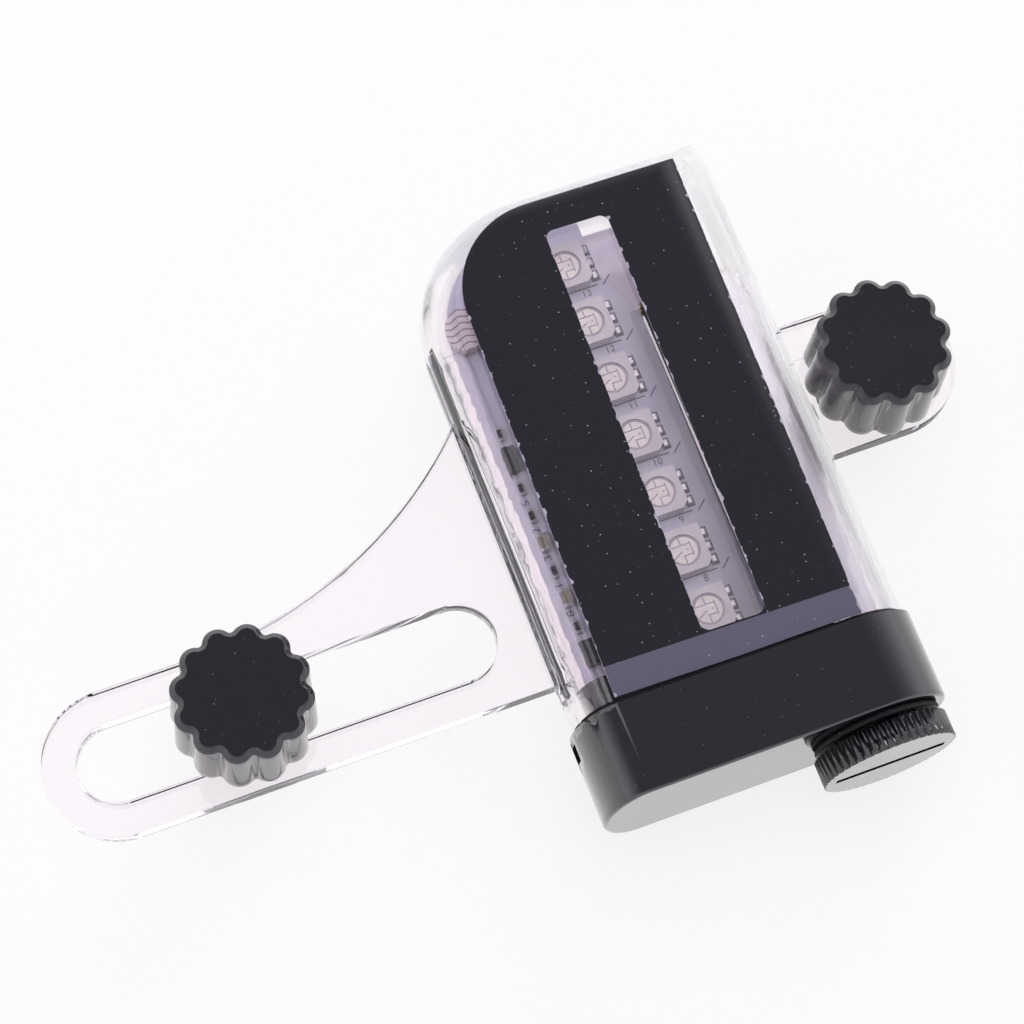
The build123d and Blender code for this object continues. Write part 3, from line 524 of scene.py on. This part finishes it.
def near_label_edge(material, across, along):
    """The distance in mm to the nearest long edge of the label or of its window."""
    beyond = node(material, "ShaderNodeMath", {"operation": "SUBTRACT"}, i0=along, i1=WINDOW_MIDDLE)
    beyond = node(material, "ShaderNodeMath", {"operation": "ABSOLUTE"}, i0=beyond.outputs[0])
    beyond = node(material, "ShaderNodeMath", {"operation": "GREATER_THAN"}, i0=beyond.outputs[0],
                  i1=WINDOW_HALF)
    gaps = []
    for edge in (-LABEL_HALF, LABEL_HALF, *WINDOW_EDGES):
        offset = node(material, "ShaderNodeMath", {"operation": "SUBTRACT"}, i0=across, i1=edge)
        gap = node(material, "ShaderNodeMath", {"operation": "ABSOLUTE"}, i0=offset.outputs[0])
        if edge in WINDOW_EDGES:
            gap = node(material, "ShaderNodeMath", {"operation": "ADD"}, i0=gap.outputs[0],
                       i1=beyond.outputs[0])
        gaps.append(gap)
    near = gaps[0]
    for gap in gaps[1:]:
        near = node(material, "ShaderNodeMath", {"operation": "MINIMUM"}, i0=near.outputs[0],
                    i1=gap.outputs[0])
    return near


def printed_film(name):
    """Near-black film with a grey stripe at its foot, pale dust and a ragged edge of adhesive."""
    material, output = new_material(name)
    where = node(material, "ShaderNodeTexCoord").outputs["Object"]
    turn = Matrix.Rotation(LABEL_LEAN, 3, "Z")
    flat = node(material, "ShaderNodeMapping", Vector=where, Scale=(1 / MM, 1 / MM, 1 / MM),
                Rotation=(0, 0, LABEL_LEAN), Location=turn @ -(Vector(ROW_ORIGIN) + LABEL_PIVOT)).outputs[0]
    parts = node(material, "ShaderNodeSeparateXYZ", Vector=flat)
    across, along = parts.outputs["X"], parts.outputs["Y"]
    stripe = node(material, "ShaderNodeMapRange", Value=along, From_Min=STRIPE_TOP - STRIPE_BLUR,
                  From_Max=STRIPE_TOP + STRIPE_BLUR, To_Min=1.0, To_Max=0.0)
    ink = node(material, "ShaderNodeMix", {"data_type": "RGBA"}, i0=stripe.outputs[0],
               i6=linear("201E26"), i7=linear("5B576A"))
    near = near_label_edge(material, across, along)
    ragged = node(material, "ShaderNodeTexNoise", Vector=flat, Scale=1 / BLISTER_SIZE, Detail=2.0)
    blister = node(material, "ShaderNodeMapRange", Value=ragged.outputs["Fac"], From_Min=0.52, From_Max=0.8,
                   To_Min=BLISTER_REACH[0], To_Max=BLISTER_REACH[1])
    glue = node(material, "ShaderNodeMath", {"operation": "LESS_THAN"}, i0=near.outputs[0],
                i1=blister.outputs[0])
    edged = node(material, "ShaderNodeMix", {"data_type": "RGBA"}, i0=glue.outputs[0], i6=ink.outputs[2],
                 i7=linear("A9A4B4"))
    cells = node(material, "ShaderNodeTexVoronoi", {"voronoi_dimensions": "2D"}, Vector=flat,
                 Scale=1 / SPECK_SPACING)
    chance = node(material, "ShaderNodeSeparateColor", Color=cells.outputs["Color"])
    reach = node(material, "ShaderNodeMapRange", Value=chance.outputs[0], From_Min=0.45, From_Max=1.0,
                 To_Min=0.0, To_Max=SPECK_RADIUS)
    speck = node(material, "ShaderNodeMath", {"operation": "LESS_THAN"}, i0=cells.outputs["Distance"],
                 i1=reach.outputs[0])
    dusty = node(material, "ShaderNodeMix", {"data_type": "RGBA"}, i0=speck.outputs[0], i6=edged.outputs[2],
                 i7=linear("B4B0BC"))
    _, gloss, normal = fine_grain(material, flat, 1 / FILM_GRAIN, 0.3, 0.4, 0.3, 0.003)
    shader = node(material, "ShaderNodeBsdfPrincipled", Base_Color=dusty.outputs[2], Roughness=gloss,
                  Normal=normal, Specular_IOR_Level=0.3)
    return finish_material(material, output, shader.outputs[0])


FILM = printed_film("black printed film, satin")
FILM_BACK = two_tone("film's back, pale adhesive", "C9C4D2", "D6D1DC", 4, 0.5)
print("film nodes:", len(FILM.node_tree.nodes))

# %% [markdown]
# ## The light sensor
# A light-dependent resistor is a pale ceramic disc with a dark zigzag track between two electrodes.
# The track could be modelled, but it has next to no height, so repeated folds of the coordinates draw it.

# %% Light sensor
SENSOR_SPOT = (-14.05, 46.2, 0.6)
ZIGZAG_WIDTH = 1.3
ZIGZAG_SLOPE = 0.35
TRACK_SPACING = 0.4
TRACK_HALF = 0.1
SENSOR_GRAIN = 0.4


def sensor_glaze(name):
    """Pale ceramic with a dark zigzag track across its face."""
    material, output = new_material(name)
    where = node(material, "ShaderNodeTexCoord").outputs["Object"]
    flat = measured(material, where, [a + b for a, b in zip(SENSOR_SPOT, ROW_ORIGIN)])
    parts = node(material, "ShaderNodeSeparateXYZ", Vector=flat)
    fold = node(material, "ShaderNodeMath", {"operation": "PINGPONG"}, i0=parts.outputs["X"],
                i1=ZIGZAG_WIDTH)
    slope = node(material, "ShaderNodeMath", {"operation": "MULTIPLY"}, i0=fold.outputs[0], i1=ZIGZAG_SLOPE)
    shifted = node(material, "ShaderNodeMath", {"operation": "ADD"}, i0=parts.outputs["Y"],
                   i1=slope.outputs[0])
    waves = node(material, "ShaderNodeMath", {"operation": "PINGPONG"}, i0=shifted.outputs[0],
                 i1=TRACK_SPACING)
    track = node(material, "ShaderNodeMath", {"operation": "LESS_THAN"}, i0=waves.outputs[0], i1=TRACK_HALF)
    colour = node(material, "ShaderNodeMix", {"data_type": "RGBA"}, i0=track.outputs[0],
                  i6=linear("CBBFC9"), i7=linear("8A707E"))
    _, gloss, normal = fine_grain(material, flat, 1 / SENSOR_GRAIN, 0.24, 0.38, 0.3, 0.003)
    shader = node(material, "ShaderNodeBsdfPrincipled", Base_Color=colour.outputs[2], Roughness=gloss,
                  Normal=normal)
    return finish_material(material, output, shader.outputs[0])


SENSOR = sensor_glaze("light sensor, pale glazed ceramic")
print("sensor track spacing in mm:", TRACK_SPACING)

# %% [markdown]
# ## Chip parts along the board's edge
# Chip resistors and capacitors are tiny blocks whose two ends are dipped in solder.
# All the parts of a kind are one piece, so the ends are found from the row's pitch and not part by part.

# %% Small parts with metal ends
EDGE_FIRST = 7.6
EDGE_PITCH = 3.3
SOLDER_END = 0.32
CHIP_ROUGHNESS = 0.35
CHIP_GRAIN = 0.2


def end_plated(name, hex_body, hex_ends, half):
    """Parts in a row along Y whose ends are solder; half is half of a part's length in mm."""
    material, output = new_material(name)
    where = node(material, "ShaderNodeTexCoord").outputs["Object"]
    parts = node(material, "ShaderNodeSeparateXYZ", Vector=measured(material, where))
    along = node(material, "ShaderNodeMath", {"operation": "SUBTRACT"}, i0=parts.outputs["Y"],
                 i1=EDGE_FIRST - EDGE_PITCH / 2)
    step = node(material, "ShaderNodeMath", {"operation": "FLOORED_MODULO"}, i0=along.outputs[0],
                i1=EDGE_PITCH)
    local = node(material, "ShaderNodeMath", {"operation": "SUBTRACT"}, i0=step.outputs[0],
                 i1=EDGE_PITCH / 2)
    far = node(material, "ShaderNodeMath", {"operation": "ABSOLUTE"}, i0=local.outputs[0])
    ends = node(material, "ShaderNodeMath", {"operation": "GREATER_THAN"}, i0=far.outputs[0],
                i1=half - SOLDER_END)
    colour = node(material, "ShaderNodeMix", {"data_type": "RGBA"}, i0=ends.outputs[0],
                  i6=linear(hex_body), i7=linear(hex_ends))
    fine = node(material, "ShaderNodeTexNoise", Vector=where, Scale=1 / (CHIP_GRAIN * MM), Detail=3.0)
    bump = node(material, "ShaderNodeBump", Height=fine.outputs["Fac"], Strength=0.5, Distance=0.006 * MM)
    shader = node(material, "ShaderNodeBsdfPrincipled", Base_Color=colour.outputs[2],
                  Roughness=CHIP_ROUGHNESS, Metallic=ends.outputs[0], Normal=bump.outputs[0])
    return finish_material(material, output, shader.outputs[0])


RESISTOR = end_plated("chip resistor, black glaze and solder", "201E24", "B8B4BC", 0.8)
CAPACITOR = end_plated("chip capacitor, tan ceramic and solder", "8A7F78", "C4C0C6", 1.0)
print("chip parts:", [RESISTOR.name, CAPACITOR.name])

# %% [markdown]
# ## Dressing every CAD piece
# The table names the finish of each piece, and one loop makes all the copies, so that none is forgotten.
# The labels stand off the case by a hair, because two faces in one place would flicker.
# The knobs have softer edges than the CAD model has, as mouldings do.

# %% Finishes by piece
FINISHES = {
    "case": CLEAR_CASE, "battery_tube": CLEAR_TUBE, "end_cap": BLACK_GLOSS, "case_gasket": RUBBER,
    "battery_door": BLACK_GLOSS, "door_o_ring": RUBBER, "battery_cell": SLEEVE, "positive_contact": BRASS,
    "negative_contact": BRASS, "negative_lead": LEAD_SKIN, "door_spring": SPRING_STEEL,
    "circuit_board": BOARD, "light_sensor": SENSOR, "motion_switch": CAN_STEEL, "controller_chip": CHIP,
    "transistors": CHIP, "capacitors": CAPACITOR, "resistors": RESISTOR, "front_label": FILM,
    "back_label": FILM,
}
for number in range(1, 15):
    FINISHES["led_" + str(number)] = LED_BODY
for side in ("left", "right"):
    FINISHES[side + "_knob"] = BLACK_KNOB
    FINISHES[side + "_insert"] = BRASS
    FINISHES[side + "_bush"] = BLACK_SATIN
    FINISHES[side + "_clamp_plate"] = BLACK_SATIN
    FINISHES[side + "_bolt"] = STEEL
LIFTS = {"front_label": 0.02, "back_label": -0.02}
SOFT_EDGES = {"left_knob": 0.22, "right_knob": 0.22}
for name, material in FINISHES.items():
    smooth_copy(name, material, lift=LIFTS.get(name, 0.0), soften=SOFT_EDGES.get(name, 0.0))
print("pieces:", len(FINISHES))

# %% [markdown]
# ## The labels' pale backs
# Seen through the clear case, the glued side of each film is pale.
# So the faces that look inwards take a second material, and the printed side keeps its own.

# %% Backs of the labels
INWARD = -0.2

for name, outward in (("front_label", 1), ("back_label", -1)):
    film = bpy.data.objects[name + "_shown"].data
    film.materials.append(FILM_BACK)
    for face in film.polygons:
        face.material_index = int(face.normal.z * outward < INWARD)
    print(name, "pale faces:", sum(face.material_index for face in film.polygons))

# %% [markdown]
# ## Tools for the fine parts
# Each LED has a lead frame in its round window and three solder legs on its right.
# One of each is modelled at the lowest LED, and an array sets the other six, because all seven are alike.
# The board's back carries the same parts, so a copy of each row is turned half a turn about the row's axis.

# %% Helpers for modelling
LED_ROW = -0.9
LED_FIRST = 7.6
LED_PITCH = 7.0
LEDS_A_SIDE = 7
BOARD_FACE = 0.6
DISC_SIDES = 40


def add_box(centre, size, bevel=0.0, turn=0.0):
    """A box in mm in the case's own frame, turned about Z by degrees, with softened edges."""
    bpy.ops.object.select_all(action="DESELECT")
    bpy.ops.mesh.primitive_cube_add(size=1.0, location=place(*centre), rotation=(0, 0, math.radians(turn)))
    made = bpy.context.object
    made.scale = [length * MM for length in size]
    bpy.ops.object.transform_apply(location=True, rotation=True, scale=True)
    if bevel:
        bpy.ops.object.mode_set(mode="EDIT")
        bpy.ops.mesh.select_all(action="SELECT")
        bpy.ops.mesh.bevel(offset=bevel * MM, segments=2)
        bpy.ops.object.mode_set(mode="OBJECT")
    return made


def add_disc(height, radius, thickness):
    """A flat disc in mm in the window of the lowest LED, at a height above the middle of the case."""
    bpy.ops.object.select_all(action="DESELECT")
    bpy.ops.mesh.primitive_cylinder_add(vertices=DISC_SIDES, radius=radius * MM, depth=thickness * MM,
                                        location=place(LED_ROW, LED_FIRST, height))
    bpy.ops.object.transform_apply(location=True, rotation=True, scale=True)
    return bpy.context.object


def join(pieces):
    """Several objects made into one, which is left active."""
    bpy.ops.object.select_all(action="DESELECT")
    for piece in pieces:
        piece.select_set(True)
    bpy.context.view_layer.objects.active = pieces[0]
    bpy.ops.object.join()
    return pieces[0]


def repeat(piece):
    """The piece set at every LED of the row."""
    row = piece.modifiers.new("row", "ARRAY")
    row.count = LEDS_A_SIDE
    row.use_relative_offset = False
    row.use_constant_offset = True
    row.constant_offset_displace = (0, LED_PITCH * MM, 0)
    bpy.context.view_layer.objects.active = piece
    bpy.ops.object.modifier_apply(modifier="row")
    return piece


print("LED pitch in mm:", LED_PITCH)


# %% Helpers for the two sides of the board
def turned_to_back(piece):
    """A copy turned half a turn about the axis of the LED rows, so that it sits on the board's back."""
    copy = piece.copy()
    copy.data = piece.data.copy()
    bpy.context.scene.collection.objects.link(copy)
    bpy.ops.object.select_all(action="DESELECT")
    copy.select_set(True)
    bpy.context.view_layer.objects.active = copy
    bpy.ops.object.mode_set(mode="EDIT")
    bpy.ops.mesh.select_all(action="SELECT")
    bpy.ops.transform.rotate(value=math.pi, orient_axis="Y", center_override=place(LED_ROW, 0, 0))
    bpy.ops.object.mode_set(mode="OBJECT")
    return copy


def finish_piece(piece, name, material):
    """Names a new piece, gives it its finish and fixes it to the lamp."""
    piece.name = name
    piece.data.name = name
    piece.data.materials.clear()
    piece.data.materials.append(material)
    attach(piece, "lamp")


def finish_both_sides(rows):
    """Finishes a copy of each row for the board's back, and then the rows of its front."""
    for piece, name, material in rows:
        finish_piece(turned_to_back(piece), "back_" + name, material)
    for piece, name, material in rows:
        finish_piece(piece, "front_" + name, material)


print("axis of the LED rows at x in mm:", LED_ROW)

# %% [markdown]
# ## Lead frames in the LEDs' windows
# Under the clear resin of each LED lies a stamped metal sheet, split into pads by narrow gaps.
# It is made the way a press makes it: a round disc, and a bar that cuts out each gap.
# A thin grey disc below it is the floor of the window, which shows in the gaps.

# %% Lead frames
PHOSPHOR = two_tone("lead frame under clear resin", "E6DDDC", "F0E8E4", 1.2, 0.3)
FRAME_HEIGHT = BOARD_FACE + 1.37
FRAME_RADIUS = 1.5
FRAME_THICKNESS = 0.1
GAP_DEPTH = 0.5
GAPS = ((-0.15, 1.2, 0.16, 1.1, 0), (-0.15, -1.15, 0.16, 1.1, 0), (0.88, 0, 0.15, 1.7, 0),
        (-0.2, 0.62, 2.2, 0.15, 0), (0.35, -0.6, 1.2, 0.15, 0), (-0.85, -0.42, 1.5, 0.15, 28),
        (0.45, 0, 0.2, 0.2, 0))

lead_frame = add_disc(FRAME_HEIGHT, FRAME_RADIUS, FRAME_THICKNESS)
for x, y, wide, tall, turn in GAPS:
    bar = add_box((LED_ROW + x, LED_FIRST + y, FRAME_HEIGHT), (wide, tall, GAP_DEPTH), turn=turn)
    bpy.ops.object.select_all(action="DESELECT")
    bpy.context.view_layer.objects.active = lead_frame
    lead_frame.select_set(True)
    cut = lead_frame.modifiers.new("gap", "BOOLEAN")
    cut.operation = "DIFFERENCE"
    cut.solver = "EXACT"
    cut.object = bar
    bpy.ops.object.modifier_apply(modifier="gap")
    bpy.data.objects.remove(bar, do_unlink=True)
repeat(lead_frame)
print("lead frame faces:", len(lead_frame.data.polygons))

# %% Floors of the windows
RESIN = two_tone("grey base of the LED window", "A79FAC", "B2AAB6", 1.5, 0.35)
FLOOR_HEIGHT = BOARD_FACE + 1.325
FLOOR_RADIUS = 1.74
FLOOR_THICKNESS = 0.04
FLOOR_BEVEL = 0.01

window_base = add_disc(FLOOR_HEIGHT, FLOOR_RADIUS, FLOOR_THICKNESS)
bpy.ops.object.mode_set(mode="EDIT")
bpy.ops.mesh.select_all(action="SELECT")
bpy.ops.mesh.bevel(offset=FLOOR_BEVEL * MM, segments=1)
bpy.ops.object.mode_set(mode="OBJECT")
repeat(window_base)
finish_both_sides(((lead_frame, "lead_frames", PHOSPHOR), (window_base, "window_bases", RESIN)))
print("window floors:", LEDS_A_SIDE, "on each side")

# %% [markdown]
# ## Solder legs, printed marks and a painted shadow line
# Beside each LED three tinned legs stand on printed pads, and a printed slash marks where the LED sits.
# A thin grey line just under each LED's lower edge is painted shadow of the LED's body.
# The print is a fraction of a hair thick on the real board.
# Here print and painted shadow are very thin raised boxes, because a real edge catches light better than a
# bump does.

# %% Solder legs, pads and lines beside the LEDs
SOLDER = plated("tin solder, bright", "C9C5CC", 0.3, 0.25)
# This one grey is the silkscreen ink of the pads, the slash and the numbers, and also the painted shadow
# line under each LED.
SILK_AND_SHADOW_GREY = moulded("grey silkscreen ink and painted shadow", "5F596F", 0.6, 0.2)
LEG_ROWS = (-1.6, 0, 1.6)
LEG_OFFSET = 2.95
LEG_SIZE = (0.62, 0.85, 0.42)
LEG_HEIGHT = BOARD_FACE + 0.24
LEG_BEVEL = 0.12
PAD_OFFSET = 3.0
PAD_SIZE = (0.95, 1.3)
INK_AND_SHADOW_HEIGHT = BOARD_FACE + 0.02
INK_AND_SHADOW_THICKNESS = 0.03
INK_AND_SHADOW_BEVEL = 0.005
# The first line is painted shadow: a thin dark strip just under each LED's lower edge, where its body's
# shadow falls. The second is the printed slash.
SLASH_AND_SHADOW_LINES = ((0.2, -2.66, 5.5, 0.15, 0), (4.05, -2.4, 1.5, 0.15, 42))

legs = [add_box((LED_ROW + LEG_OFFSET, LED_FIRST + row, LEG_HEIGHT), LEG_SIZE, bevel=LEG_BEVEL)
        for row in LEG_ROWS]
front_legs = repeat(join(legs))
# These boxes are the printed pads, the painted shadow line and the printed slash.
marks_and_shadow = [add_box((LED_ROW + PAD_OFFSET, LED_FIRST + row, INK_AND_SHADOW_HEIGHT), (*PAD_SIZE, INK_AND_SHADOW_THICKNESS),
                  bevel=INK_AND_SHADOW_BEVEL) for row in LEG_ROWS]
for x, y, wide, tall, turn in SLASH_AND_SHADOW_LINES:
    marks_and_shadow.append(add_box((LED_ROW + x, LED_FIRST + y, INK_AND_SHADOW_HEIGHT), (wide, tall, INK_AND_SHADOW_THICKNESS),
                          bevel=INK_AND_SHADOW_BEVEL, turn=turn))
front_marks_and_shadow = repeat(join(marks_and_shadow))
# The silk lines rows hold the printed pads and slash together with the painted shadow line.
finish_both_sides(((front_legs, "solder_legs", SOLDER), (front_marks_and_shadow, "silk_and_painted_shadow_lines", SILK_AND_SHADOW_GREY)))
print("legs on each side:", LEDS_A_SIDE * len(LEG_ROWS))

# %% [markdown]
# ## Plain numbers on the board
# A board is printed with small numbers, so that whoever fits the parts can find their places.
# Each number is a text object turned into a mesh, which keeps its true outline and needs no font afterwards.

# %% Numbers
NUMBER_THICKNESS = 0.012
LED_NUMBER_SIZE = 1.15
LED_NUMBER_ACROSS = 1.4
LED_NUMBER_BELOW = 3.3
FIRST_FRONT_LED = 8
EDGE_NUMBER_SIZE = 1.5
EDGE_NUMBER_ACROSS = -14.5
EDGE_NUMBERS = (("4", 32.35), ("3", 29.1), ("5", 25.75), ("2", 22.45), ("3", 19.15), ("1", 15.85),
                ("8", 12.55))


def number_mesh(word, centre, size, turn=0.0):
    """A flat number as a mesh, centred on a place in mm."""
    bpy.ops.object.select_all(action="DESELECT")
    bpy.ops.object.text_add(location=(0, 0, 0))
    made = bpy.context.object
    made.data.body = word
    made.data.size = size * MM
    made.data.extrude = NUMBER_THICKNESS * MM
    made.data.align_x = "CENTER"
    made.data.align_y = "CENTER"
    bpy.ops.object.convert(target="MESH")
    made = bpy.context.object
    made.location = place(*centre)
    made.rotation_euler = (0, 0, math.radians(turn))
    bpy.ops.object.transform_apply(location=True, rotation=True, scale=True)
    return made


led_numbers = []
for index in range(LEDS_A_SIDE - 1):
    height = LED_FIRST + LED_PITCH * (index + 1) - LED_NUMBER_BELOW
    spot = (LED_ROW + LED_NUMBER_ACROSS, height, INK_AND_SHADOW_HEIGHT)
    led_numbers.append(number_mesh(str(FIRST_FRONT_LED + index), spot, LED_NUMBER_SIZE))
finish_piece(join(led_numbers), "led_numbers", SILK_AND_SHADOW_GREY)
edge_numbers = [number_mesh(word, (EDGE_NUMBER_ACROSS, height, INK_AND_SHADOW_HEIGHT), EDGE_NUMBER_SIZE, turn=90)
                for word, height in EDGE_NUMBERS]
finish_piece(join(edge_numbers), "edge_numbers", SILK_AND_SHADOW_GREY)
print("numbers:", len(led_numbers) + len(EDGE_NUMBERS))
